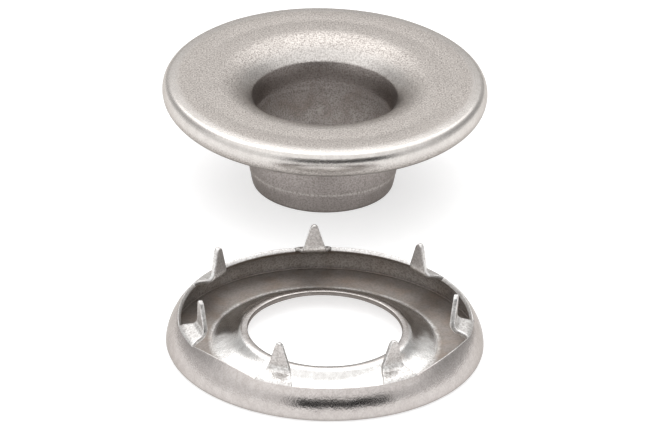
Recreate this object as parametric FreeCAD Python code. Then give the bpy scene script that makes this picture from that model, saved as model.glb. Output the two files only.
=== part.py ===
"""Rolled-rim spur grommet set, No. 2 size: a grommet and the spur washer it is set into.

Both pieces are stampings of thin sheet metal and lie loose on one resting plane, z = 0.
The washer lies spurs up, and the grommet stands on the end of its barrel behind it.
Millimetres, +Z up.  The origin is the middle of the pair's footprint on the resting plane.
"""
import FreeCAD, Part
import math
import os

# ---- driving dimensions -------------------------------------------------------------------
SHEET = 0.37                  # sheet thickness of both stampings

GROMMET_HEIGHT = 9.15         # barrel end to the top of the flange
BORE_RADIUS = 5.55            # inside of the barrel below the mouth
BARREL_END_RADIUS = 5.66      # outside of the barrel at its lead-in end
LEAD_LENGTH = 1.00            # length of the reduced lead-in end
STEP_LENGTH = 0.45            # height of the taper between lead-in and full barrel
MOUTH_RADIUS = 2.80           # bell-mouth bend from the flange into the barrel
ROLL_SHOULDER = 1.00          # outside bend of the rolled rim above its widest place
ROLL_BELLY = 1.385            # outside bend of the rolled rim below it
FLANGE_RADIUS = 13.13         # outside of the rolled rim
CROWN_RADIUS = 9.60           # where the flange starts to fall towards its rim
CROWN_BEND = 60.0             # gentle bend of the flange there
FLANGE_FALL = 0.15            # how far the flange's line has fallen at the rim
ROLL_TUCK = 60.0              # degrees that the roll goes on past its lowest point

HOLE_RADIUS = 6.12            # hole of the washer, clears the barrel
LIP_HEIGHT = 1.55             # top of the raised lip round the hole
LIP_WIDTH = 0.42              # level part of the lip
LIP_BEND = 0.50               # bend from the lip down into the dish
DISH_MIDDLE = (7.50, 0.88)    # radius and height where the dish is halfway up
DISH_BEND = 3.00              # bend of the dish there
DISH_RADIUS = 8.97            # where the flat floor turns up into the dish
DISH_FOOT_BEND = 1.00         # bend from the floor into the dish
WASHER_RADIUS = 12.62         # widest part of the washer's wall
FOOT_RADIUS = 0.45            # bend between floor and wall
WALL_BEND = 3.14              # radius of the wall as it rolls inwards
WALL_LEAN = 42.0              # degrees that the wall has rolled inwards at its edge
RIM_HEIGHT = 2.54             # height of the wall's edge between spurs
ROOT_BEND = 1.00              # outside bend between the wall and a spur's root
ROOT_SLOPE = 15.0             # degrees above level of each spur's root
SPUR_COUNT = 7
SPUR_PHASE = 94.6             # azimuth of the first spur, from +X towards +Y
SPUR_RADIUS = 10.41           # outer face of the upright spurs
SPUR_TIP_HEIGHT = 5.50        # spur tips above the resting plane
SPUR_BEND = 0.60              # bend between root and upright spur, on the side of the hole
ROOT_RADIUS = 11.75           # where the notches beside a spur reach the wall's edge
ROOT_WIDTH = 3.10             # width of a spur where it leaves the wall
SPUR_WIDTH = 1.68             # width of a spur where it turns upright
TIP_WIDTH = 0.40              # width of the blunt tip

CENTRE_DISTANCE = 27.95       # from the washer's axis to the grommet's axis

# ---- places worked out from them ----------------------------------------------------------
WASHER_Y = (WASHER_RADIUS - FLANGE_RADIUS - CENTRE_DISTANCE) / 2
GROMMET_Y = WASHER_Y + CENTRE_DISTANCE
TINY = 1e-6


def unit(a, b):
    """Unit direction from point a to point b in the section plane."""
    length = math.dist(a, b)
    return ((b[0] - a[0]) / length, (b[1] - a[1]) / length)


def turn_angle(before, after):
    """Signed turn in radians between two unit directions, left turns positive."""
    cross = before[0] * after[1] - before[1] * after[0]
    dot = before[0] * after[0] + before[1] * after[1]
    return math.atan2(cross, dot)


def shifted(path, distance):
    """The bent path moved to its left by a distance, with its bend radii to match."""
    result = []
    last = len(path) - 1
    for i, (r, z, bend) in enumerate(path):
        before = unit(path[max(i, 1) - 1][:2], path[max(i, 1)][:2])
        after = unit(path[min(i, last - 1)][:2], path[min(i, last - 1) + 1][:2])
        turn = turn_angle(before, after)
        middle = (before[0] + after[0], before[1] + after[1])
        scale = distance / math.hypot(*middle) / math.cos(turn / 2)
        tighter = distance * math.copysign(1, turn) if bend else 0.0
        result.append((r - middle[1] * scale, z + middle[0] * scale, bend - tighter))
    return result


def bent_edges(path):
    """Lines and tangent arcs along a list of corners (r, z, bend radius)."""
    edges = []
    at = path[0][:2]
    for i in range(1, len(path)):
        corner = path[i][:2]
        into = unit(path[i - 1][:2], corner)
        reach = 0.0
        if i < len(path) - 1:
            out = unit(corner, path[i + 1][:2])
            turn = turn_angle(into, out)
            reach = path[i][2] * math.tan(abs(turn) / 2)
        start = (corner[0] - into[0] * reach, corner[1] - into[1] * reach)
        if math.dist(at, start) > TINY:
            edges.append(Part.LineSegment(in_plane(at), in_plane(start)).toShape())
        at = start
        if reach > TINY:
            end = (corner[0] + out[0] * reach, corner[1] + out[1] * reach)
            half = math.copysign(math.pi / 2 - abs(turn) / 2, turn)
            inward = rotated(out, half)
            offset = path[i][2] / math.cos(turn / 2) - path[i][2]
            middle = (corner[0] + inward[0] * offset, corner[1] + inward[1] * offset)
            edges.append(Part.Arc(in_plane(start), in_plane(middle), in_plane(end)).toShape())
            at = end
    return edges


def rotated(direction, angle):
    """A section-plane direction turned left by an angle in radians."""
    c = math.cos(angle)
    s = math.sin(angle)
    return (direction[0] * c - direction[1] * s, direction[0] * s + direction[1] * c)


def in_plane(point):
    """A section point (r, z) as a vector in the XZ plane."""
    return FreeCAD.Vector(point[0], 0, point[1])


def revolved_sheet(path, thickness):
    """A sheet of even thickness on the left of a bent path, spun about the Z axis."""
    near = bent_edges(path)
    far = bent_edges(shifted(path, thickness))
    caps = []
    for side in (0, -1):
        a = path[side][:2]
        b = shifted(path, thickness)[side][:2]
        caps.append(Part.LineSegment(in_plane(a), in_plane(b)).toShape())
    wire = Part.Wire(Part.__sortEdges__(near + far + caps))
    return Part.Face(wire).revolve(FreeCAD.Vector(0, 0, 0), FreeCAD.Vector(0, 0, 1), 360)


def prism(outline, push):
    """A closed outline of vectors pushed along a vector."""
    return Part.Face(Part.makePolygon(outline + outline[:1])).extrude(push)


def make_grommet():
    """Barrel, bell mouth, flange and rolled rim as one stamping, standing on its barrel."""
    lead_bore = BARREL_END_RADIUS - SHEET
    top = GROMMET_HEIGHT
    fall_angle = math.atan(FLANGE_FALL / (FLANGE_RADIUS - CROWN_RADIUS))
    widest = top - FLANGE_FALL - ROLL_SHOULDER * math.tan(math.pi / 4 - fall_angle / 2)
    roll_bottom = widest - ROLL_BELLY
    tuck = math.radians(ROLL_TUCK)
    tuck_reach = ROLL_BELLY * math.tan(tuck / 2)
    tuck_corner = FLANGE_RADIUS - ROLL_BELLY - tuck_reach
    tuck_end = tuck_corner - tuck_reach * math.cos(tuck)
    tuck_rise = tuck_reach * math.sin(tuck)
    path = [
        (lead_bore, 0.0, 0.0),
        (lead_bore, LEAD_LENGTH, 0.0),
        (BORE_RADIUS, LEAD_LENGTH + STEP_LENGTH, 0.0),
        (BORE_RADIUS, top, MOUTH_RADIUS),
        (CROWN_RADIUS, top, CROWN_BEND),
        (FLANGE_RADIUS, top - FLANGE_FALL, ROLL_SHOULDER),
        (FLANGE_RADIUS, roll_bottom, ROLL_BELLY),
        (tuck_corner, roll_bottom, ROLL_BELLY),
        (tuck_end, roll_bottom + tuck_rise, 0.0),
    ]
    grommet = revolved_sheet(path, -SHEET)
    grommet.translate(FreeCAD.Vector(0, GROMMET_Y, 0))
    return grommet


def upright_corners():
    """Corners of the wall and one spur on the side of the hole: wall, root and upright bend."""
    wall = WALL_BEND - SHEET
    root = ROOT_BEND - SHEET
    lean = math.radians(WALL_LEAN)
    slope = math.radians(ROOT_SLOPE)
    edge_radius = WASHER_RADIUS - WALL_BEND + wall * math.cos(lean)
    edge_height = FOOT_RADIUS + wall * math.sin(lean)
    reach = root * math.tan((math.pi / 2 - slope - lean) / 2)
    root_radius = edge_radius - reach * math.sin(lean)
    root_height = edge_height + reach * math.cos(lean)
    inside = SPUR_RADIUS - SHEET
    bend_height = root_height + (root_radius - inside) * math.tan(slope)
    return [
        (WASHER_RADIUS - SHEET, FOOT_RADIUS + wall * math.tan(lean / 2), wall),
        (root_radius, root_height, root),
        (inside, bend_height, SPUR_BEND),
    ]


def washer_ring():
    """The washer's whole section spun round: dish, floor, wall, spur root and upright spur."""
    path = [
        (HOLE_RADIUS, LIP_HEIGHT, 0.0),
        (HOLE_RADIUS + LIP_WIDTH, LIP_HEIGHT, LIP_BEND),
        (*DISH_MIDDLE, DISH_BEND),
        (DISH_RADIUS, SHEET, DISH_FOOT_BEND),
        (WASHER_RADIUS - SHEET, SHEET, FOOT_RADIUS - SHEET),
        *upright_corners(),
        (SPUR_RADIUS - SHEET, SPUR_TIP_HEIGHT, 0.0),
    ]
    return revolved_sheet(path, -SHEET)


def spur_keeper():
    """The space that one spur may fill, above the wall's edge, for a spur along +X."""
    inside = SPUR_RADIUS - 2 * SHEET
    outside = WASHER_RADIUS
    base = RIM_HEIGHT
    bend = upright_corners()[-1][1]
    high = SPUR_TIP_HEIGHT + SHEET
    plan = [
        FreeCAD.Vector(inside, -SPUR_WIDTH / 2, base),
        FreeCAD.Vector(SPUR_RADIUS, -SPUR_WIDTH / 2, base),
        FreeCAD.Vector(ROOT_RADIUS, -ROOT_WIDTH / 2, base),
        FreeCAD.Vector(outside, -ROOT_WIDTH / 2, base),
        FreeCAD.Vector(outside, ROOT_WIDTH / 2, base),
        FreeCAD.Vector(ROOT_RADIUS, ROOT_WIDTH / 2, base),
        FreeCAD.Vector(SPUR_RADIUS, SPUR_WIDTH / 2, base),
        FreeCAD.Vector(inside, SPUR_WIDTH / 2, base),
    ]
    face = [
        FreeCAD.Vector(inside, -ROOT_WIDTH, base),
        FreeCAD.Vector(inside, -ROOT_WIDTH, bend),
        FreeCAD.Vector(inside, -SPUR_WIDTH / 2, bend),
        FreeCAD.Vector(inside, -TIP_WIDTH / 2, SPUR_TIP_HEIGHT),
        FreeCAD.Vector(inside, TIP_WIDTH / 2, SPUR_TIP_HEIGHT),
        FreeCAD.Vector(inside, SPUR_WIDTH / 2, bend),
        FreeCAD.Vector(inside, ROOT_WIDTH, bend),
        FreeCAD.Vector(inside, ROOT_WIDTH, base),
    ]
    upright = prism(plan, FreeCAD.Vector(0, 0, high - base))
    return upright.common(prism(face, FreeCAD.Vector(outside - inside, 0, 0)))


def make_washer():
    """Spur washer as one stamping, spurs up."""
    ring = washer_ring()
    room = Part.makeCylinder(WASHER_RADIUS + 1, SPUR_TIP_HEIGHT, FreeCAD.Vector(0, 0, RIM_HEIGHT))
    keeper = spur_keeper()
    up = FreeCAD.Vector(0, 0, 1)
    for i in range(SPUR_COUNT):
        kept = keeper.copy()
        kept.rotate(FreeCAD.Vector(0, 0, 0), up, SPUR_PHASE + i * 360 / SPUR_COUNT)
        room = room.cut(kept)
    washer = ring.cut(room)
    washer.translate(FreeCAD.Vector(0, WASHER_Y, 0))
    return washer


def main():
    os.makedirs("parts", exist_ok=True)
    for name, make in (("grommet", make_grommet), ("spur_washer", make_washer)):
        shape = make()
        solid = shape.Solids[0]
        box = solid.optimalBoundingBox(True, False)
        print(name, len(shape.Solids), "solid, valid", solid.isValid(), "volume", round(solid.Volume, 2))
        print("  x", round(box.XMin, 3), round(box.XMax, 3), "y", round(box.YMin, 3),
              round(box.YMax, 3), "z", round(box.ZMin, 3), round(box.ZMax, 3))
        solid.exportStep("parts/" + name + ".step")


main()
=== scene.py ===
"""Rolled-rim spur grommet set: a grommet standing on its barrel behind its spur washer.

Both CAD nodes are replaced by finer meshes of the same stampings, with rounded cut edges,
the unevenness that pressing leaves, and a tumbled nickel finish.  Sizes are in millimetres
until a mesh is made, and in metres from then on.
"""
import math

import bmesh
import bpy
import numpy as np
from mathutils import Matrix, Vector, noise


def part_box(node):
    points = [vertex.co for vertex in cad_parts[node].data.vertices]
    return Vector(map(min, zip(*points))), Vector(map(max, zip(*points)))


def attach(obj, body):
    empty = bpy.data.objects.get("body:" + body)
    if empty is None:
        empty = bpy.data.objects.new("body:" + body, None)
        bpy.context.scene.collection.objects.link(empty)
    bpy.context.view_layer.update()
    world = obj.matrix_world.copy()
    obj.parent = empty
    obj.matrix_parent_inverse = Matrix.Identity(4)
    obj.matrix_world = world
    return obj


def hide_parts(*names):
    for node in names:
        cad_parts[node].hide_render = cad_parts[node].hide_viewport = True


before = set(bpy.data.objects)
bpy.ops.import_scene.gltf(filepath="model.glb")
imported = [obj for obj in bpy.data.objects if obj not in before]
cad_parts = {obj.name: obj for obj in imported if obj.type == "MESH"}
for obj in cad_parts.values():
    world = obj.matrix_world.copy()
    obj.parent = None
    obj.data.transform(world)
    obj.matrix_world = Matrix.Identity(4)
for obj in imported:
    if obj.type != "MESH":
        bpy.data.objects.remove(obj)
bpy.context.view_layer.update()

MM = 0.001

# ---- sizes of the two stampings, in millimetres -------------------------------------------
SHEET = 0.37                   # thickness of both sheets

BORE_RADIUS = 5.55             # grommet: inside of the barrel
LEAD_BORE_RADIUS = 5.29        # inside of the reduced lead-in end
LEAD_LENGTH = 1.25             # height of the slight taper at the barrel's end
LEAD_SWELL = 0.7               # how roundly the taper leaves the full barrel
SCUFF_HEIGHT = 1.25            # scuffed line round the outside of the barrel
SCUFF_RISE = 0.40              # how much higher it stands in front
RING_HEIGHT = 5.35             # tool mark round the bore
RING_WIDTH = 0.12
RING_RELIEF = 0.03
STAINED_TOP = 5.9              # the bore is stained up to here
FLARE_BEND = 5.2               # bends up the bell mouth: flare above the barrel,
THROAT_BEND = 0.5              # throat,
MOUTH_BEND = 3.42              # and mouth proper
FLARE_END = 20.0               # elevations of the surface where they change
THROAT_END = 36.0
DIP_RADIUS = 10.20             # shallow dip that the rolling tool left inside the rim
DIP_WIDTH = 0.50
DIP_DEPTH = 0.02
CROWN_BEND = 9.0               # slight crown of the flange before the roll
CROWN_TILT = 7.0               # degrees that the crown falls through
ROLL_SHOULDER = 0.62           # bend radii round the rolled rim, from the top downwards
ROLL_NOSE = 0.70
ROLL_BELLY = 1.345
SHOULDER_END = 58.0            # elevations of the surface where the bends change
NOSE_END = 28.0
BELLY_END = -150.0

HOLE_RADIUS = 6.20             # washer: hole, before its edge is rounded over
LIP_HEIGHT = 1.55
LIP_WIDTH = 0.50
LIP_BEND = 0.80
DISH_MIDDLE = (7.50, 0.88)
DISH_BEND = 3.00
DISH_RADIUS = 8.97
DISH_FOOT_BEND = 0.50
FOOT_RADIUS = 0.45             # outside bend between floor and wall
WALL_BEND = 3.14               # outside radius of the wall as it rolls inwards
WALL_LEAN = 42.0               # degrees that the wall has rolled inwards at its edge
WALL_FROM = 10.0               # what stands outside this radius is wall, not lip
ROOT_BEND = 1.00               # outside bend between the wall and a spur's root
ROOT_TILT = 75.0               # degrees that the root leans inwards
SPUR_RADIUS = 10.41            # outside of the upright spurs
SPUR_FILLET = 0.50             # outside bend where the root turns upright
SPUR_TIP_HEIGHT = 5.45
SPUR_COUNT = 7
SECTOR = 2 * math.pi / SPUR_COUNT
SPUR_PHASE = 94.6              # azimuth of the first spur in degrees
SPUR_WIDTH = 1.68              # at the upright bend
TIP_WIDTH = 0.40
FLAT_FROM = 1.2                # a spur's root is curved like the wall, and flat from here on
SPUR_COLUMNS = np.linspace(-1, 1, 17)   # columns of points across a spur
GAP_COLUMNS = 42               # and between two spurs
CUT_BULGE = 0.07               # how far a cut edge is rounded out
CUT_ROWS = 5                   # rows of points round a cut edge

GROMMET_MARGIN = 0.022         # kept free inside the CAD box, for the unevenness
WASHER_MARGIN = 0.03
GROMMET_RIPPLE = ((3.0, 0.012), (9.0, 0.024))               # reach and depth of each ripple
WASHER_RIPPLE = ((1.1, 0.007), (2.2, 0.022), (6.0, 0.022))
RIPPLE_START = 0.4             # the ripple fades out below this, so that the pieces stand flat

# Each spur as it came off the press: width of its root, then how far its tip stands
# outwards, sideways (towards larger azimuth) and up from where it should.
SPUR_HABITS = (
    (2.75, 0.08, 0.05, -0.20),
    (2.90, 0.12, -0.06, 0.02),
    (3.30, 0.20, 0.02, 0.10),
    (3.05, 0.12, -0.02, -0.02),
    (2.90, 0.16, 0.06, -0.04),
    (2.60, 0.16, 0.02, 0.08),
    (2.80, 0.10, 0.03, -0.02),
)
# How far the wall's edge swells upwards between each spur and the next, in millimetres.
GAP_SWELLS = (0.02, 0.08, 0.33, 0.03, 0.27, 0.12, 0.04)

# ---- where each finish, painted shade and painted highlight lies ---------------------------
# A pair is the radius or height where a finish starts to show and the one where it is full.
# The other numbers are shares of full strength, unless a comment says that they are sizes.
RIM_RADII = (11.6, 12.2)       # grommet: tumbled bright on the rolled rim
RIM_HEIGHTS = (7.3, 8.2)
RIM_CLEANNESS = 0.5
ROLL_RADII = (11.0, 12.0)      # the rolled rim is bright underneath too
THROAT_BLUR = 0.1              # millimetres above and below the throat
MOUTH_SHINE_HEIGHTS = (1.2, 0.5)   # above the throat: clean and smooth low in the mouth
MOUTH_SHINE = 0.6
MOUTH_POLISH = 0.75            # of that shine
MOUTH_REACH = 9.0              # the mouth lies inside this radius
BORE_HEIGHTS = (6.6, 3.6)      # half bright down in the bore
BORE_BRIGHTNESS = 0.45
SCUFF_WIDTH = 0.08             # millimetres
SCUFF_BRIGHTNESS = 0.8
BARREL_HEIGHTS = (3.2, 0.2)    # painted shade, darker down the barrel
BARREL_SHADE = 0.42
FOOT_HEIGHTS = (0.25, 0.0)     # more painted shade where the barrel stands on the floor
FOOT_SHADE = 0.4
# painted shade under the rolled rim
UNDER_ROLL_HEIGHTS = (7.4, 7.0)
ROLL_SHADE = 0.8

CONTACT_HEIGHTS = (0.22, 0.07)     # washer: painted contact shade where it lies on the bench
CONTACT_SHADE = 0.7
UNDERSIDE_POLISH = 0.8
DISH_RADII = (DISH_RADIUS + 0.05, DISH_RADIUS - 0.10)   # tumbled bright in the dish
POLISH_RADII = (DISH_RADIUS, DISH_RADIUS - 0.4)
LIP_RADII = (HOLE_RADIUS + 0.6, HOLE_RADIUS + 0.4)      # but less clean on the lip
LIP_DULLNESS = 0.75
RAISED_HEIGHTS = (2.35, 2.85)  # everything that stands above the wall
RAISED_RADII = (12.0, 11.4)
WALL_RADII = (11.7, 11.9)
FLOOR_RADII = (10.2, 11.6)     # painted shade on the outer part of the floor, under the inward-rolled wall
FLOOR_SHADE = 0.28
FLOOR_REACH = 0.05             # millimetres up from the floor
CREASE = (12.06, 0.42)         # r and z of the crease between floor and wall, where shade is painted
CREASE_WIDTH = 0.20            # millimetres
CREASE_SHADE = 0.7
HIGHLIGHT_RING_RADIUS = DISH_RADIUS + 0.05   # painted highlight: bright ring at the foot of the dish
HIGHLIGHT_RING_WIDTH = 0.09
SPUR_DULL_FROM = 0.25          # share of a spur's upright part over which it gets less clean
SPUR_DULLNESS = 0.7

# ---- the photographer's set ---------------------------------------------------------------
CAMERA_PITCH = 28.310
CAMERA_ROLL = 1.353
CAMERA_AZIMUTH = 0.962
CAMERA_SHIFT = (-0.0225, 3.5007, 1280.86)   # of the origin, right, down and away, in mm
SENSOR = 36.0
LENS = 886.15

FLOOR_SIZE = 6.0               # metres
FLOOR_GLOW = 0.605             # light that the paper gives off by itself
PAPER_DARK = (0.57, 0.57, 0.57, 1.0)
PAPER_LIGHT = (0.60, 0.60, 0.60, 1.0)

# The room's light depends on the direction only, a vector one unit long that points right (x),
# away from the camera (y) and up (z), so a height is the sine of an elevation.
BACK_LEVEL = 0.76              # backdrop, low down
BACK_HIGH = 1.1                # and high up
BACK_RISE = (0.30, 0.68)       # heights between which it brightens
FRONT_LOW = 0.97               # the same on the camera's side
FRONT_HIGH = 1.35
FRONT_RISE = (0.30, 0.60)
FRONT_TO_BACK = 0.35           # half the depth over which one side passes into the other
SIDE_SHARE = 0.66              # what is left of the light far out to the sides
SIDE_REACH = (0.30, 0.75)      # from here to here sideways
SIDE_DEPTH = 0.2               # half the depth over which that fades out towards the front
SIDE_RISE = (0.10, 0.35)       # and the heights over which it fades out downwards
LEFT_LEAN = 0.13               # how much brighter it is on the left
# The soft box overhead, measured on a ceiling one unit up, with half the widths of its soft edges.
BOX_LEVEL = 2.3
BOX_FRONT = 0.0
BOX_FRONT_EDGE = 0.03
BOX_BACK = 1.30
BOX_BACK_EDGE = 0.15
BOX_SIDE = 0.85
BOX_SIDE_EDGE = 0.3
# The dark card round the camera.
DARK_LEVEL = 0.0
DARK_AZIMUTH = 11.0            # degrees from straight in front, towards the right
DARK_HALF_WIDTH = 35.0
DARK_SIDE_EDGE = 0.06          # as a cosine
DARK_TOP = 26.0                # degrees of elevation
DARK_TOP_EDGE = (0.06, 0.08)   # below and above, as heights
NEARLY_ZERO = 0.001            # keeps divisions finite at the horizon and overhead


# ---- curves in the section plane ----------------------------------------------------------
def arc(centre, radii, start, end, steps):
    """Points along an upright ellipse, between two angles in degrees."""
    angles = np.radians(np.linspace(start, end, steps))
    return np.stack([centre[0] + radii[0] * np.cos(angles),
                     centre[1] + radii[1] * np.sin(angles)], axis=1)


def rolling_on(path, radius, start, end, steps):
    """The path with a tangent bend added, given the surface's elevations at its two ends."""
    a = math.radians(start)
    centre = path[-1] - radius * np.array([math.cos(a), math.sin(a)])
    return np.vstack([path, arc(centre, (radius, radius), start, end, steps)[1:]])


def bent(corners, spacing):
    """Points along lines and tangent bends through corners (r, z, bend radius)."""
    points = [np.array(corners[0][:2])]
    for before, corner, after in zip(corners, corners[1:], corners[2:]):
        at = np.array(corner[:2])
        into = at - np.array(before[:2])
        out = np.array(after[:2]) - at
        into = into / np.linalg.norm(into)
        out = out / np.linalg.norm(out)
        turn = math.acos(float(np.clip(into @ out, -1, 1)))
        reach = corner[2] * math.tan(turn / 2)
        start = at - into * reach
        inward = (out - into) / np.linalg.norm(out - into)
        centre = at + inward * (corner[2] / math.cos(turn / 2))
        points.extend(between(points[-1], start, spacing))
        steps = max(4, round(math.degrees(turn) / 4))
        for i in range(1, steps + 1):
            share = i / steps
            spoke = (start - centre) * math.cos(turn * share) + into * corner[2] * math.sin(turn * share)
            points.append(centre + spoke)
    points.extend(between(points[-1], np.array(corners[-1][:2]), spacing))
    return np.array(points)


def between(start, end, spacing):
    """Evenly spaced points from start, left out, to end."""
    steps = max(1, math.ceil(np.linalg.norm(end - start) / spacing))
    return [start + (end - start) * i / steps for i in range(1, steps + 1)]


def path_lengths(path):
    """Distance along a path to each of its points."""
    return np.concatenate([[0.0], np.cumsum(np.linalg.norm(np.diff(path, axis=0), axis=1))])


def left_normals(path):
    """Unit normals on the left of a path, from its own points."""
    lengths = path_lengths(path)
    tangents = np.stack([np.gradient(path[:, k], lengths) for k in (0, 1)], axis=1)
    tangents /= np.linalg.norm(tangents, axis=1)[:, None]
    return np.stack([-tangents[:, 1], tangents[:, 0]], axis=1)


def ramp(value, start, end):
    """0 at start, 1 at end, smooth between and level outside; start may be the larger."""
    share = np.clip((value - start) / (end - start), 0.0, 1.0)
    return share * share * (3 - 2 * share)


def stripe(distance, width):
    """1 where distance is 0, fading out over about width on both sides."""
    return np.exp(-(distance / width) ** 2)


def half_rounds(count):
    """Shares across and along a cut edge's rounding, between its two faces."""
    angles = np.linspace(0, math.pi, count + 2)[1:-1]
    across = np.sign(np.cos(angles)) * np.abs(np.cos(angles)) ** 0.6
    along = np.sin(angles) ** 0.6
    return across, along


# ---- meshes -------------------------------------------------------------------------------
def axis_of(node):
    """The vertical axis of a round CAD node, in millimetres."""
    low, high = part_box(node)
    return np.array([(low.x + high.x) / 2, (low.y + high.y) / 2]) / MM


def pressed_unevenly(point, reach, depth):
    """How far the press left a point off its true place, in millimetres."""
    return depth * noise.noise(Vector(point) / reach)


def make_piece(name, points, faces, finishes, ripple):
    """A mesh object from points in millimetres, with one float attribute per finish."""
    mesh = bpy.data.meshes.new(name)
    mesh.from_pydata([tuple(p * MM) for p in points], [], faces)
    made = bmesh.new()
    made.from_mesh(mesh)
    bmesh.ops.recalc_face_normals(made, faces=made.faces)
    made.to_mesh(mesh)
    made.free()
    normals = np.zeros(len(points) * 3)
    mesh.vertex_normals.foreach_get("vector", normals)
    normals = normals.reshape(-1, 3)
    shifts = np.array([sum(pressed_unevenly(p, *r) for r in ripple) for p in points])
    shifts *= ramp(points[:, 2], 0, RIPPLE_START)
    moved = (points + normals * shifts[:, None]) * MM
    mesh.vertices.foreach_set("co", moved.astype(np.float32).ravel())
    for label, values in finishes.items():
        attribute = mesh.attributes.new(label, "FLOAT", "POINT")
        attribute.data.foreach_set("value", np.asarray(values, np.float32))
    mesh.shade_smooth()
    mesh.update()
    piece = bpy.data.objects.new(name, mesh)
    bpy.context.scene.collection.objects.link(piece)
    return piece


def grommet_face(radius, top):
    """Bore side and top of the grommet as (r, z) points, from barrel end to the roll's end."""
    flare = rolling_on(np.zeros((1, 2)), FLARE_BEND, 180, 180 - FLARE_END, 16)
    mouth = rolling_on(flare, THROAT_BEND, 180 - FLARE_END, 180 - THROAT_END, 8)
    mouth = rolling_on(mouth, MOUTH_BEND, 180 - THROAT_END, 90, 36)
    mouth += (BORE_RADIUS, top - mouth[-1, 1])
    mouth_end = mouth[-1, 0]
    barrel_z = np.linspace(0, mouth[0, 1], 72)
    opened = np.clip(barrel_z / LEAD_LENGTH, 0, 1) ** LEAD_SWELL
    barrel_r = LEAD_BORE_RADIUS + (BORE_RADIUS - LEAD_BORE_RADIUS) * opened
    for height in (LEAD_LENGTH, RING_HEIGHT):
        barrel_r += RING_RELIEF * stripe(barrel_z - height, RING_WIDTH)
    barrel = np.stack([barrel_r, barrel_z], axis=1)

    rim = np.array([[0.0, top]])
    rim = rolling_on(rim, CROWN_BEND, 90, 90 - CROWN_TILT, 12)
    rim = rolling_on(rim, ROLL_SHOULDER, 90 - CROWN_TILT, SHOULDER_END, 12)
    rim = rolling_on(rim, ROLL_NOSE, SHOULDER_END, NOSE_END, 16)
    rim = rolling_on(rim, ROLL_BELLY, NOSE_END, BELLY_END, 44)
    rim[:, 0] += radius - rim[:, 0].max()

    level_r = np.linspace(mouth_end, rim[0, 0], 30)
    dip = DIP_DEPTH * stripe(level_r - DIP_RADIUS, DIP_WIDTH)
    level = np.stack([level_r, top - dip], axis=1)
    throat = mouth[len(flare) + 3, 1]
    return np.vstack([barrel, mouth[1:], level[1:], rim[1:]]), throat


def closed_section(face):
    """The sheet under a face as one closed section with rounded ends, and which rows are face."""
    normals = left_normals(face)
    back = face - normals * SHEET
    across, along = half_rounds(CUT_ROWS)
    caps = []
    for end, sense in ((-1, 1), (0, -1)):
        forward = sense * np.array([normals[end, 1], -normals[end, 0]])
        middle = (face[end] + back[end]) / 2
        half = (face[end] - back[end]) / 2 * sense
        caps.append([middle + half * a + forward * CUT_BULGE * b for a, b in zip(across, along)])
    section = np.vstack([face, caps[0], back[::-1], caps[1]])
    is_face = np.zeros(len(section), bool)
    is_face[:len(face)] = True
    return section, is_face


def grommet_finish(section, is_face, throat, angles):
    """Shares of each finish and of painted shade at the grommet's points: one row of the section after
    another.
    """
    r, z = section[:, 0], section[:, 1]
    on_flange = ramp(z, throat - THROAT_BLUR, throat + THROAT_BLUR) * is_face
    low_mouth = ramp(z, throat + MOUTH_SHINE_HEIGHTS[0], throat + MOUTH_SHINE_HEIGHTS[1])
    in_mouth = MOUTH_SHINE * on_flange * low_mouth * (r < MOUTH_REACH)
    on_rim = ramp(r, *RIM_RADII) * ramp(z, *RIM_HEIGHTS)
    outside = np.maximum(on_flange, ramp(r, *ROLL_RADII))
    in_bore = BORE_BRIGHTNESS * ramp(z, *BORE_HEIGHTS) * is_face
    scuff_z = SCUFF_HEIGHT - SCUFF_RISE * np.sin(angles)[:, None]
    scuffed = SCUFF_BRIGHTNESS * stripe(z - scuff_z, SCUFF_WIDTH) * ~is_face
    # painted shade: darker down the barrel and where it stands on the floor
    barrel_foot_shade = BARREL_SHADE * ramp(z, *BARREL_HEIGHTS) + FOOT_SHADE * ramp(z, *FOOT_HEIGHTS)
    # painted shade under the rolled rim
    under_roll_shade = ROLL_SHADE * ramp(z, *UNDER_ROLL_HEIGHTS) * (r > ROLL_RADII[0])
    return {
        "bright": np.maximum(np.maximum(outside, in_bore), scuffed).ravel(),
        "polish": np.tile(np.maximum(on_rim, MOUTH_POLISH * in_mouth), len(angles)),
        "clean": np.tile(np.maximum(RIM_CLEANNESS * on_rim, in_mouth), len(angles)),
        "inner": np.tile(is_face & (z < STAINED_TOP), len(angles)),
        "painted_shade": (np.maximum(barrel_foot_shade, under_roll_shade) * (1 - scuffed)).ravel(),
    }


def build_grommet(segments=320):
    """The grommet's closed section, spun round its axis in as many segments."""
    low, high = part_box("grommet")
    radius = (high.x - low.x) / 2 / MM - GROMMET_MARGIN
    top = high.z / MM - GROMMET_MARGIN
    axis = axis_of("grommet")
    face, throat = grommet_face(radius, top)
    section, is_face = closed_section(face)
    section[:, 1] = np.maximum(section[:, 1], 0.0)
    angles = np.linspace(0, 2 * math.pi, segments, endpoint=False)
    rows = len(section)
    points = np.empty((segments, rows, 3))
    points[:, :, 0] = axis[0] + np.cos(angles)[:, None] * section[:, 0]
    points[:, :, 1] = axis[1] + np.sin(angles)[:, None] * section[:, 0]
    points[:, :, 2] = section[:, 1]
    faces = []
    for i in range(segments):
        j = (i + 1) % segments
        for k in range(rows):
            m = (k + 1) % rows
            faces.append((i * rows + k, j * rows + k, j * rows + m, i * rows + m))
    finish = grommet_finish(section, is_face, throat, angles)
    return make_piece("grommet_shell", points.reshape(-1, 3), faces, finish, GROMMET_RIPPLE)


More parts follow.
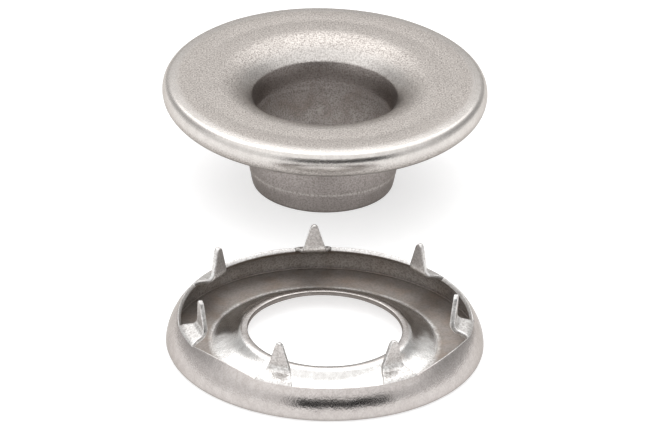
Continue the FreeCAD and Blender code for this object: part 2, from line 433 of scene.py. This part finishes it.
def washer_profile(radius):
    """Upper face of the washer from hole to wall edge, and on along a spur to its tip."""
    wall = WALL_BEND - SHEET
    outside = radius - SHEET
    floor = [
        (HOLE_RADIUS, LIP_HEIGHT, 0.0),
        (HOLE_RADIUS + LIP_WIDTH, LIP_HEIGHT, LIP_BEND),
        (*DISH_MIDDLE, DISH_BEND),
        (DISH_RADIUS, SHEET, DISH_FOOT_BEND),
        (outside, SHEET, FOOT_RADIUS - SHEET),
        (outside, FOOT_RADIUS + 0.04, 0.0),
    ]
    base = bent(floor, 0.28)
    centre = (radius - WALL_BEND, FOOT_RADIUS)
    start = math.degrees(math.asin(0.04 / wall))
    wall_arc = arc(centre, (wall, wall), start, WALL_LEAN, 20)
    base = np.vstack([base[:-1], wall_arc])

    edge = base[-1]
    spur = np.array([edge])
    spur = rolling_on(spur, ROOT_BEND - SHEET, WALL_LEAN, ROOT_TILT, 8)
    slope = math.radians(90 - ROOT_TILT)
    inside = SPUR_RADIUS - SHEET
    bend_z = spur[-1, 1] + (spur[-1, 0] - inside) * math.tan(slope)
    corners = [
        (spur[-1, 0], spur[-1, 1], 0.0),
        (inside, bend_z, SPUR_FILLET + SHEET),
        (inside, SPUR_TIP_HEIGHT, 0.0),
    ]
    upright = bent(corners, 0.12)
    return base, np.vstack([spur, upright[1:]]), bend_z


def spur_half_widths(path, bend_z, root_width):
    """Half the width of a spur at each point of its path, from its root to its blunt tip."""
    along = path_lengths(path)
    upright = np.argmax((path[:, 1] > bend_z) & (path[:, 0] < SPUR_RADIUS - SHEET + 0.05))
    bend_at = along[upright]
    tip_at = along[-1]
    flare = np.clip(1 - along / bend_at, 0, 1) ** 1.25
    widths = SPUR_WIDTH / 2 + (root_width - SPUR_WIDTH) / 2 * flare
    taper = np.clip((along - bend_at) / (tip_at - bend_at), 0, 1)
    widths = widths - (SPUR_WIDTH - TIP_WIDTH) / 2 * taper
    from_tip = (tip_at - along) / (TIP_WIDTH / 2)
    rounding = np.sqrt(np.clip(1 - np.clip(1 - from_tip, 0, 0.94) ** 2, 0, 1))
    return widths * rounding, np.clip((along - bend_at) / (tip_at - bend_at), 0, 1)


def spun_columns(path, normals, azimuths, axis):
    """Points and normals of a path spun to several azimuths, as (rows, columns, 3) arrays."""
    out = np.stack([np.cos(azimuths), np.sin(azimuths), np.zeros(len(azimuths))], axis=1)
    points = path[:, 0, None, None] * out + path[:, 1, None, None] * UP
    points[:, :, 0] += axis[0]
    points[:, :, 1] += axis[1]
    facing = normals[:, 0, None, None] * out + normals[:, 1, None, None] * UP
    return points, facing


# Each point of a piece has a share of each finish and of painted shade.
FINISHES = ("bright", "polish", "inner", "painted_shade", "clean")
# the hole's cut edge: half bright, with painted shade on it
HOLE_EDGE_FINISH = (0.5, 0.0, 0.0, 0.7, 0.0)
WALL_EDGE_FINISH = (1.0, 0.3, 0.0, 0.0, 1.0)
UP = np.array([0.0, 0.0, 1.0])


class Skin:
    """Points, faces and finishes of a piece while it is being put together."""

    def __init__(self):
        self.points = []
        self.faces = []
        self.finish = []

    def add(self, points, finish):
        """Adds points with their finishes, and returns their indices in the same layout."""
        first = len(self.points)
        flat = points.reshape(-1, 3)
        count = len(FINISHES)
        self.points.extend(flat)
        self.finish.extend(np.broadcast_to(finish, (*points.shape[:-1], count)).reshape(-1, count))
        return np.arange(first, first + len(flat)).reshape(points.shape[:-1])

    def quads(self, index, wrap=False):
        """Faces between neighbouring rows and columns of indices."""
        rows, columns = index.shape
        for k in range(rows - 1):
            for i in range(columns if wrap else columns - 1):
                j = (i + 1) % columns
                self.faces.append((index[k, i], index[k, j], index[k + 1, j], index[k + 1, i]))

    def cut_edge(self, upper, lower, sense, finish):
        """Joins the two faces along a closed cut edge with a rounded strip."""
        a = np.array([self.points[i] for i in upper])
        b = np.array([self.points[i] for i in lower])
        run = np.roll(a, -1, axis=0) - np.roll(a, 1, axis=0)
        normal = a - b
        out = np.cross(run, normal) * sense
        out /= np.linalg.norm(out, axis=1)[:, None]
        across, along = half_rounds(CUT_ROWS)
        rows = [upper]
        for s, t in zip(across, along):
            line = (a + b) / 2 + (a - b) / 2 * s + out * CUT_BULGE * t
            rows.append(self.add(line, finish))
        rows.append(lower)
        self.quads(np.array(rows), wrap=True)


def washer_finish(path, upper):
    """Share of each finish and of painted shade along the washer's section, on its upper or its lower
    face.
    """
    r, z = path[:, 0], path[:, 1]
    none = np.zeros(len(r))
    if not upper:
        # painted contact shade where the washer lies on the bench
        contact = CONTACT_SHADE * ramp(z, *CONTACT_HEIGHTS)
        return np.stack([none + 1, none + UNDERSIDE_POLISH, none, contact, none], axis=1)
    dish = ramp(r, *DISH_RADII)
    on_lip = ramp(r, *LIP_RADII)
    raised = ramp(z, *RAISED_HEIGHTS) * ramp(r, *RAISED_RADII)
    wall = ramp(r, *WALL_RADII) * (z > FOOT_RADIUS) * (1 - raised)
    bright = np.maximum(np.maximum(dish, raised), wall)
    polish = ramp(r, *POLISH_RADII)
    inner = 1 - bright
    # painted shade in the crease between floor and wall
    crease = CREASE_SHADE * stripe(np.hypot(r - CREASE[0], z - CREASE[1]), CREASE_WIDTH)
    # painted shade on the outer floor, under the inward-rolled wall
    on_floor = FLOOR_SHADE * ramp(r, *FLOOR_RADII) * (z < SHEET + FLOOR_REACH)
    # painted highlight: a bright ring at the foot of the dish
    dish_ring_highlight = stripe(r - HIGHLIGHT_RING_RADIUS, HIGHLIGHT_RING_WIDTH)
    clean = np.maximum(dish * (1 - LIP_DULLNESS * on_lip) + wall, dish_ring_highlight)
    return np.stack([bright, polish, inner, np.maximum(crease, on_floor), clean], axis=1)


def spur_azimuth(i):
    return math.radians(SPUR_PHASE) + i * SECTOR


def washer_columns(edge_radius):
    """Azimuths of all columns, where each spur's begin, and the edge's swell at each column."""
    azimuths, starts, swells = [], [], []
    for i, (root_width, *_lean) in enumerate(SPUR_HABITS):
        centre = spur_azimuth(i)
        half = root_width / 2 / edge_radius
        next_half = SPUR_HABITS[(i + 1) % SPUR_COUNT][0] / 2 / edge_radius
        starts.append(len(azimuths))
        azimuths.extend(centre + half * SPUR_COLUMNS)
        gap = np.linspace(centre + half, centre + SECTOR - next_half, GAP_COLUMNS + 2)[1:-1]
        azimuths.extend(gap)
        shares = np.linspace(0, 1, GAP_COLUMNS + 2)[1:-1]
        swells.extend(np.zeros(len(SPUR_COLUMNS)))
        swells.extend(GAP_SWELLS[i] * np.sin(math.pi * shares) ** 0.7)
    return np.array(azimuths), starts, np.array(swells)


def swell_wall(points, base, azimuths, swells):
    """Lifts the wall's columns by their swells, along the wall's own lean."""
    wall = base[:, 0] > WALL_FROM
    rise = ramp(base[:, 1], FOOT_RADIUS, base[-1, 1]) * wall
    lift = rise[:, None] * swells[None, :]
    inward = lift * math.tan(math.radians(WALL_LEAN))
    points[:, :, 2] += lift
    points[:, :, 0] -= inward * np.cos(azimuths)
    points[:, :, 1] -= inward * np.sin(azimuths)


def spur_faces(i, spur, normals, bend_z, edge_radius, axis):
    """Both faces of spur i, and how far along its upright part each of its rows is."""
    root_width, out_lean, side_lean, extra = SPUR_HABITS[i]
    centre = spur_azimuth(i)
    out = np.array([math.cos(centre), math.sin(centre), 0.0])
    side = np.array([-math.sin(centre), math.cos(centre), 0.0])
    half_widths, upright = spur_half_widths(spur, bend_z, root_width)
    lateral = half_widths[:, None] * SPUR_COLUMNS[None, :]
    turns = lateral / edge_radius
    curved = np.cos(turns)[:, :, None] * out + np.sin(turns)[:, :, None] * side
    round_points = spur[:, 0, None, None] * curved
    flat_points = spur[:, 0, None, None] * out + lateral[:, :, None] * side
    share = ramp(path_lengths(spur), 0, FLAT_FROM)[:, None, None]
    plan = round_points * (1 - share) + flat_points * share
    facing_out = curved * (1 - share) + out * share
    facing_out /= np.linalg.norm(facing_out, axis=2)[:, :, None]
    grid = plan + spur[:, 1, None, None] * UP
    grid += (upright ** 1.3 * out_lean)[:, None, None] * out
    grid += (upright * side_lean)[:, None, None] * side
    grid[:, :, 2] += (upright * extra)[:, None]
    grid[:, :, 0] += axis[0]
    grid[:, :, 1] += axis[1]
    facing = normals[:, 0, None, None] * facing_out + normals[:, 1, None, None] * UP
    return grid, grid - facing * SHEET, upright


def spur_finish(upright):
    """Share of each finish along a spur: bright all over, and cleanest at its root."""
    finish = np.zeros((len(upright), 1, len(FINISHES)))
    finish[:, 0, FINISHES.index("bright")] = 1.0
    finish[:, 0, FINISHES.index("clean")] = 1 - SPUR_DULLNESS * ramp(upright, 0, SPUR_DULL_FROM)
    return finish


def build_washer():
    """The washer's floor and wall as spun columns, with a spur grown from the edge of some."""
    low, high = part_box("spur_washer")
    radius = (high.x - low.x) / 2 / MM - WASHER_MARGIN
    axis = axis_of("spur_washer")
    base, spur, bend_z = washer_profile(radius)
    edge_radius = base[-1, 0]
    azimuths, starts, swells = washer_columns(edge_radius)
    normals = left_normals(np.vstack([base, spur[1:]]))
    spur_normals = normals[len(base) - 1:]

    skin = Skin()
    upper, facing = spun_columns(base, normals[:len(base)], azimuths, axis)
    swell_wall(upper, base, azimuths, swells)
    upper_index = skin.add(upper, washer_finish(base, True)[:, None, :])
    lower_index = skin.add(upper - facing * SHEET, washer_finish(base, False)[:, None, :])
    skin.quads(upper_index, wrap=True)
    skin.quads(lower_index, wrap=True)
    skin.cut_edge(upper_index[0], lower_index[0], -1, HOLE_EDGE_FINISH)

    rim_upper, rim_lower = [], []
    for i, start in enumerate(starts):
        outer, inner, upright = spur_faces(i, spur, spur_normals, bend_z, edge_radius, axis)
        finish = spur_finish(upright[1:])
        columns = start + np.arange(len(SPUR_COLUMNS))
        gap = start + len(SPUR_COLUMNS) + np.arange(GAP_COLUMNS)
        faces = ((rim_upper, upper_index[-1], outer), (rim_lower, lower_index[-1], inner))
        for rim, edge, points in faces:
            index = np.vstack([edge[columns][None, :], skin.add(points[1:], finish)])
            skin.quads(index)
            rim.extend(index[:, 0])
            rim.extend(index[-1, 1:-1])
            rim.extend(index[::-1, -1])
            rim.extend(edge[gap])
    skin.cut_edge(np.array(rim_upper), np.array(rim_lower), 1, WALL_EDGE_FINISH)

    finish = np.array(skin.finish)
    finishes = {name: finish[:, k] for k, name in enumerate(FINISHES)}
    faces = [tuple(int(k) for k in face) for face in skin.faces]
    return make_piece("washer_shell", np.array(skin.points), faces, finishes, WASHER_RIPPLE)


# ---- materials ----------------------------------------------------------------------------
EDGE_TINT = (0.62, 0.60, 0.58, 1.0)    # what oxide leaves of the shine at grazing angles
CLOUD_TINT = (0.30, 0.27, 0.25, 1.0)   # what the unevenness of the finish darkens towards
MOTTLE_TINT = (0.33, 0.29, 0.27, 1.0)
PIT_TINT = (0.24, 0.215, 0.20, 1.0)
# painted shade darkens the metal towards this
PAINTED_SHADE_TINT = (0.10, 0.085, 0.075, 1.0)
CLOUD_SIZE = 2.4               # sizes of that unevenness, in millimetres
STAIN_SIZE = 1.6
MOTTLE_SIZE = 0.60
WAVE_SIZE = 0.8
WAVE_DEPTH = 0.04              # depths that the two bumps stand for, in millimetres
SPECKLE_DEPTH = 0.03
POLISHED_RELIEF = 0.25         # strength of the fine bump where the metal is fully polished
INNER_ROUGHNESS = 0.22         # added where the stones didn't reach


class Nodes:
    """A node tree, with a short call for each kind of node."""

    def __init__(self, tree, coordinate):
        self.tree = tree
        self.place = self.make("ShaderNodeTexCoord").outputs[coordinate]

    def make(self, kind, **settings):
        made = self.tree.nodes.new(kind)
        for key, value in settings.items():
            setattr(made, key, value)
        return made

    def link(self, value, socket):
        """Connects another node's output, or sets a plain value."""
        if isinstance(value, bpy.types.NodeSocket):
            self.tree.links.new(value, socket)
        else:
            socket.default_value = value

    def math(self, operation, a, b=0.0):
        made = self.make("ShaderNodeMath", operation=operation)
        self.link(a, made.inputs[0])
        self.link(b, made.inputs[1])
        return made.outputs[0]

    def spread(self, value, low, high, to_low=0.0, to_high=1.0, kind="LINEAR"):
        """value taken from low..high to to_low..to_high, held at the ends."""
        made = self.make("ShaderNodeMapRange", interpolation_type=kind)
        for socket, number in zip(made.inputs, (value, low, high, to_low, to_high)):
            self.link(number, socket)
        return made.outputs["Result"]

    def step(self, value, low, high, to_low=0.0, to_high=1.0):
        return self.spread(value, low, high, to_low, to_high, kind="SMOOTHSTEP")

    def mix(self, share, a, b):
        """Number a where share is 0, and b where it is 1."""
        rest = self.math("SUBTRACT", 1.0, share)
        return self.math("ADD", self.math("MULTIPLY", a, rest), self.math("MULTIPLY", b, share))


class Shader(Nodes):
    """A new material, with its Principled surface."""

    def __init__(self, name):
        self.material = bpy.data.materials.new(name)
        self.material.use_nodes = True
        super().__init__(self.material.node_tree, "Object")
        self.surface = self.tree.nodes["Principled BSDF"]

    def share(self, label):
        return self.make("ShaderNodeAttribute", attribute_name=label).outputs["Fac"]

    def grain(self, size, detail=2.0):
        """Noise whose lumps are about size millimetres across."""
        made = self.make("ShaderNodeTexNoise")
        self.link(self.place, made.inputs["Vector"])
        made.inputs["Scale"].default_value = 1 / (size * MM)
        made.inputs["Detail"].default_value = detail
        return made.outputs["Fac"]

    def blend(self, share, a, b):
        """Colour a where share is 0, and b where it is 1."""
        made = self.make("ShaderNodeMix", data_type="RGBA")
        self.link(share, made.inputs["Factor"])
        self.link(a, made.inputs["A"])
        self.link(b, made.inputs["B"])
        return made.outputs[2]

    def bump(self, height, distance, strength, below=None):
        made = self.make("ShaderNodeBump")
        self.link(height, made.inputs["Height"])
        self.link(distance, made.inputs["Distance"])
        self.link(strength, made.inputs["Strength"])
        if below is not None:
            self.link(below, made.inputs["Normal"])
        return made.outputs["Normal"]


def colour(red, green, blue):
    return (red, green, blue, 1.0)


def tumbled_metal(name, bright, dull, clean, stain, grain_size, pitting, mottling,
                  relief, waves, rough):
    """Pressed metal after tumbling: bright outside, duller and stained where stones don't reach, and
    darkened by painted shade where its share asks.
    """
    shader = Shader(name)
    surface = shader.surface
    surface.inputs["Metallic"].default_value = 1.0
    surface.inputs["Specular Tint"].default_value = EDGE_TINT

    speckle = shader.grain(grain_size, 3.0)
    clouds = shader.grain(CLOUD_SIZE, 4.0)
    stains = shader.grain(STAIN_SIZE, 5.0)
    polish = shader.share("polish")
    inner = shader.share("inner")

    plain = shader.blend(shader.share("bright"), dull, bright)
    plain = shader.blend(shader.share("clean"), plain, clean)
    stained = shader.math("MULTIPLY", shader.spread(stains, 0.44, 0.68, 0.0, 0.8), inner)
    plain = shader.blend(stained, plain, stain)
    clouded = shader.blend(shader.spread(clouds, 0.3, 0.7, 0.0, 0.12), plain, CLOUD_TINT)
    mottle = shader.spread(shader.grain(MOTTLE_SIZE), 0.35, 0.70, 0.0, mottling)
    mottled = shader.blend(mottle, clouded, MOTTLE_TINT)
    pits = shader.math("MULTIPLY", shader.spread(speckle, 0.42, 0.64, 0.0, pitting),
                       shader.spread(polish, 0.0, 1.0, 1.0, 0.15))
    pitted = shader.blend(pits, mottled, PIT_TINT)
    # painted shade, patchy with the stain noise
    painted_shade = shader.math("MULTIPLY", shader.share("painted_shade"), shader.spread(stains, 0.3, 0.6, 0.7, 1.0))
    shader.link(shader.blend(painted_shade, pitted, PAINTED_SHADE_TINT), surface.inputs["Base Color"])

    roughness = shader.spread(polish, 0.0, 1.0, rough[0], rough[1])
    varied = shader.math("MULTIPLY", roughness, shader.spread(clouds, 0.25, 0.75, 0.85, 1.18))
    dulled = shader.math("ADD", varied, shader.spread(inner, 0.0, 1.0, 0.0, INNER_ROUGHNESS))
    shader.link(dulled, surface.inputs["Roughness"])

    strength = shader.spread(polish, 0.0, 1.0, relief, POLISHED_RELIEF)
    fine = shader.bump(speckle, SPECKLE_DEPTH * MM, strength)
    wavy = shader.bump(shader.grain(WAVE_SIZE), WAVE_DEPTH * MM, waves, fine)
    shader.link(wavy, surface.inputs["Normal"])
    return shader.material


def grommet_metal():
    return tumbled_metal(
        "tumbled_nickel",
        bright=colour(0.565, 0.530, 0.500), dull=colour(0.40, 0.365, 0.35),
        clean=colour(0.72, 0.695, 0.67), stain=colour(0.30, 0.25, 0.22),
        grain_size=0.12, pitting=0.88, mottling=0.14, relief=1.2, waves=0.18, rough=(0.36, 0.25))


def washer_metal():
    return tumbled_metal(
        "stamped_nickel",
        bright=colour(0.535, 0.50, 0.482), dull=colour(0.37, 0.337, 0.313),
        clean=colour(0.78, 0.77, 0.755), stain=colour(0.36, 0.29, 0.24),
        grain_size=0.15, pitting=0.50, mottling=0.24, relief=0.9, waves=0.4, rough=(0.38, 0.18))


def floor_material():
    shader = Shader("pale_paper")
    surface = shader.surface
    paper = shader.spread(shader.grain(1.5, 3.0), 0.3, 0.7, 0.0, 1.0)
    tone = shader.blend(paper, PAPER_DARK, PAPER_LIGHT)
    shader.link(tone, surface.inputs["Base Color"])
    surface.inputs["Roughness"].default_value = 1.0
    surface.inputs["Specular IOR Level"].default_value = 0.0
    surface.inputs["Emission Color"].default_value = (1.0, 1.0, 1.0, 1.0)
    surface.inputs["Emission Strength"].default_value = FLOOR_GLOW
    return shader.material


# ---- the set: floor, light and camera -----------------------------------------------------
def make_floor():
    half = FLOOR_SIZE / 2
    mesh = bpy.data.meshes.new("floor")
    corners = [(-half, -half, 0), (half, -half, 0), (half, half, 0), (-half, half, 0)]
    mesh.from_pydata(corners, [], [(0, 1, 2, 3)])
    floor = bpy.data.objects.new("floor", mesh)
    bpy.context.scene.collection.objects.link(floor)
    mesh.materials.append(floor_material())


def room(sky, x, y, z):
    """Backdrop, camera side and the darker sides of the room."""
    backdrop = sky.step(z, *BACK_RISE, BACK_LEVEL, BACK_HIGH)
    front = sky.step(z, *FRONT_RISE, FRONT_LOW, FRONT_HIGH)
    around = sky.mix(sky.step(y, -FRONT_TO_BACK, FRONT_TO_BACK), front, backdrop)
    aside = sky.math("MULTIPLY", sky.step(sky.math("ABSOLUTE", x), *SIDE_REACH),
                     sky.step(y, -SIDE_DEPTH, SIDE_DEPTH))
    aside = sky.math("MULTIPLY", aside, sky.step(z, *SIDE_RISE))
    return sky.math("MULTIPLY", around, sky.step(aside, 0.0, 1.0, 1.0, SIDE_SHARE))


def soft_box(sky, x, y, z):
    """1 in the soft box overhead, and 0 outside it."""
    level = sky.math("MAXIMUM", z, NEARLY_ZERO)
    over_y = sky.math("DIVIDE", y, level)
    over_x = sky.math("ABSOLUTE", sky.math("DIVIDE", x, level))
    depth = sky.math("MULTIPLY",
                     sky.step(over_y, BOX_FRONT - BOX_FRONT_EDGE, BOX_FRONT + BOX_FRONT_EDGE),
                     sky.step(over_y, BOX_BACK + BOX_BACK_EDGE, BOX_BACK - BOX_BACK_EDGE))
    width = sky.step(over_x, BOX_SIDE + BOX_SIDE_EDGE, BOX_SIDE - BOX_SIDE_EDGE)
    return sky.math("MULTIPLY", depth, width)


def dark_card(sky, x, y, z):
    """1 on the dark card round the camera, and 0 outside it."""
    turned = math.radians(DARK_AZIMUTH)
    ahead = sky.math("ADD", sky.math("MULTIPLY", x, math.sin(turned)),
                     sky.math("MULTIPLY", y, -math.cos(turned)))
    squares = sky.math("ADD", sky.math("MULTIPLY", x, x), sky.math("MULTIPLY", y, y))
    level = sky.math("MAXIMUM", sky.math("SQRT", squares), NEARLY_ZERO)
    facing = sky.math("DIVIDE", ahead, level)
    edge = math.cos(math.radians(DARK_HALF_WIDTH))
    top = math.sin(math.radians(DARK_TOP))
    below, above = DARK_TOP_EDGE
    return sky.math("MULTIPLY", sky.step(facing, edge - DARK_SIDE_EDGE, edge + DARK_SIDE_EDGE),
                    sky.step(z, top + above, top - below))


def make_surroundings():
    """A white room with a wide soft box overhead and a dark card round the camera."""
    world = bpy.data.worlds.new("studio")
    bpy.context.scene.world = world
    world.use_nodes = True
    sky = Nodes(world.node_tree, "Generated")
    parts = sky.make("ShaderNodeSeparateXYZ")
    sky.link(sky.place, parts.inputs[0])
    x, y, z = parts.outputs
    lit = sky.mix(soft_box(sky, x, y, z), room(sky, x, y, z), BOX_LEVEL)
    lit = sky.mix(dark_card(sky, x, y, z), lit, DARK_LEVEL)
    leaning = sky.math("SUBTRACT", 1.0, sky.math("MULTIPLY", x, LEFT_LEAN))
    lit = sky.math("MULTIPLY", lit, leaning)
    background = sky.tree.nodes["Background"]
    background.inputs["Color"].default_value = (1.0, 1.0, 1.0, 1.0)
    sky.link(lit, background.inputs["Strength"])


def make_camera():
    pitch = math.radians(CAMERA_PITCH)
    roll = math.radians(CAMERA_ROLL)
    right = Vector((1, 0, 0))
    down = Vector((0, -math.sin(pitch), -math.cos(pitch)))
    forward = Vector((0, math.cos(pitch), -math.sin(pitch)))
    shift_right, shift_down, away = CAMERA_SHIFT
    place = -shift_right * right - shift_down * down - away * forward
    camera_right = math.cos(roll) * right - math.sin(roll) * down
    camera_down = math.sin(roll) * right + math.cos(roll) * down
    turn = Matrix((camera_right, -camera_down, -forward)).transposed()
    around = Matrix.Rotation(-math.radians(CAMERA_AZIMUTH), 3, "Z")
    data = bpy.data.cameras.new("camera")
    data.sensor_width = SENSOR
    data.sensor_fit = "HORIZONTAL"
    data.lens = LENS
    data.clip_start = 0.05
    data.clip_end = 20.0
    camera = bpy.data.objects.new("camera", data)
    camera.matrix_world = Matrix.Translation(around @ (place * MM)) @ (around @ turn).to_4x4()
    bpy.context.scene.collection.objects.link(camera)
    bpy.context.scene.camera = camera


def main():
    grommet = build_grommet()
    grommet.data.materials.append(grommet_metal())
    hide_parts("grommet")
    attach(grommet, "grommet")

    washer = build_washer()
    washer.data.materials.append(washer_metal())
    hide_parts("spur_washer")
    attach(washer, "washer")

    make_floor()
    make_surroundings()
    make_camera()
    bpy.context.scene.view_settings.view_transform = "Standard"


main()
